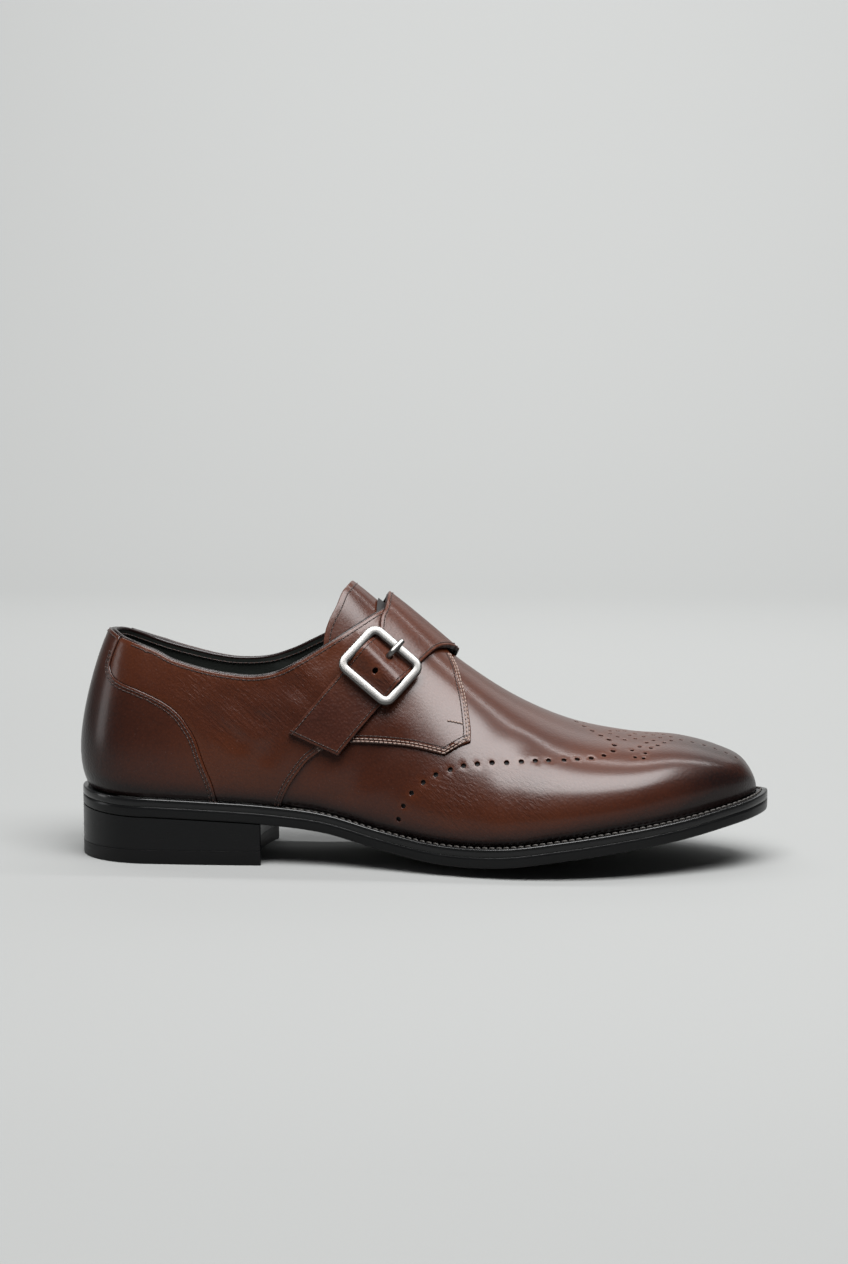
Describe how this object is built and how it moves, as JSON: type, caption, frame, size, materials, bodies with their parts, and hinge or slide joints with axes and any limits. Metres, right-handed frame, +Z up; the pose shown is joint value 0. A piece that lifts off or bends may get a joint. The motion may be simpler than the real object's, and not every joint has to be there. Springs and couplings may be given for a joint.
{
  "type": "monk strap shoe",
  "caption": "Right monk strap shoe: hollow lasted leather upper with wing-shaped punching, strap and square buckle, welted sole with toe spring, stacked heel and hollow front face.",
  "frame": {"origin": "on the floor under the centre of the whole shoe's box", "axes": "+X to the toe, +Y to the inner (medial) side of the right foot, +Z up; the buckle is on the outer side, -Y"},
  "size_m": [0.3048, 0.1066, 0.1218],
  "materials": {
    "leather_brown": "burnished reddish brown calf, glossy",
    "leather_dark_brown": "burnished dark reddish brown calf, glossy",
    "sole_black": "black dressed sole edge, semi-gloss",
    "heel_rubber": "black heel rubber, satin",
    "lining_black": "black lining leather, matt",
    "buckle_steel": "satin silver, fine scratches"
  },
  "bodies": {
    "root": {"outsole": "sole_black", "welt": "sole_black", "heel_stack": "sole_black", "heel_top_lift": "heel_rubber", "insole": "lining_black", "upper": "leather_brown", "tongue": "leather_brown", "heel_counter": "leather_dark_brown", "lateral_quarter": "leather_brown", "medial_quarter_strap": "leather_brown", "buckle_frame": "buckle_steel", "buckle_prong": "buckle_steel", "buckle_loop": "leather_dark_brown"}
  },
  "joints": []
}
